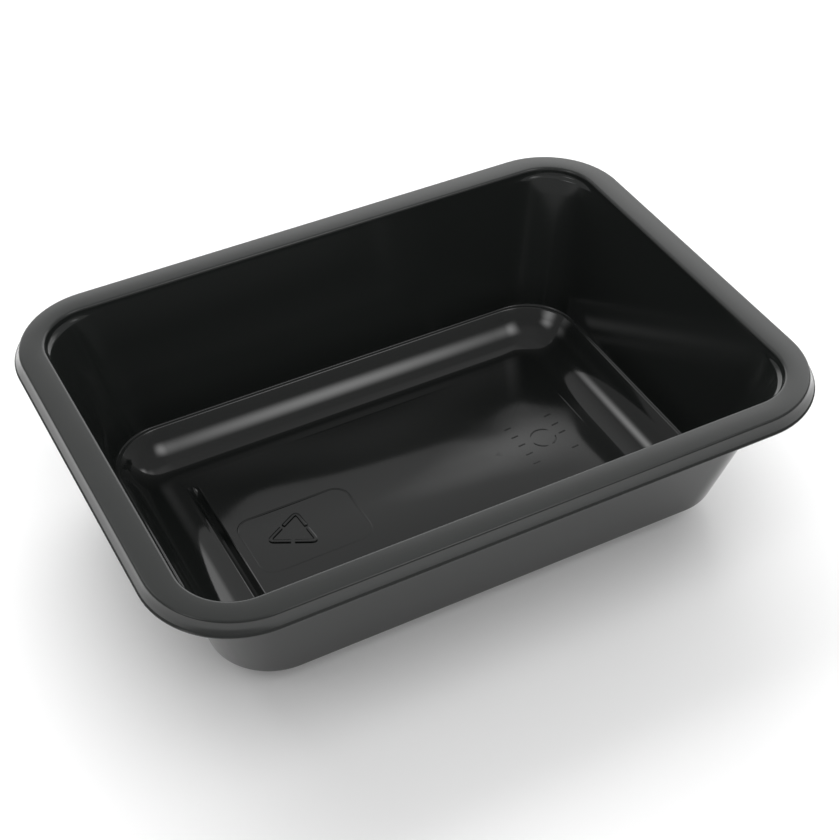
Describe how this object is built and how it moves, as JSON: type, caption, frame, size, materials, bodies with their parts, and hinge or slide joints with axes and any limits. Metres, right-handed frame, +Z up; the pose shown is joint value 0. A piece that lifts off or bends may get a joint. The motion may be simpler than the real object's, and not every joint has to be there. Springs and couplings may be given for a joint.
{
  "type": "plastic food tray",
  "caption": "Rectangular food tray with rounded corners, sloping walls, a stepped base with a broad rounded foot, and a wide flat sealing rim with a turned-down lip.",
  "frame": {"origin": "middle of the base, at the height of the surface that the tray stands on", "axes": "+X along the tray's length, away from the grooved end; +Y across its width; +Z up, out of its mouth"},
  "size_m": [0.187, 0.137, 0.05],
  "materials": {
    "black_sheet": "glossy black crystallised polyester sheet"
  },
  "bodies": {
    "root": {"tray": "black_sheet"}
  },
  "joints": []
}
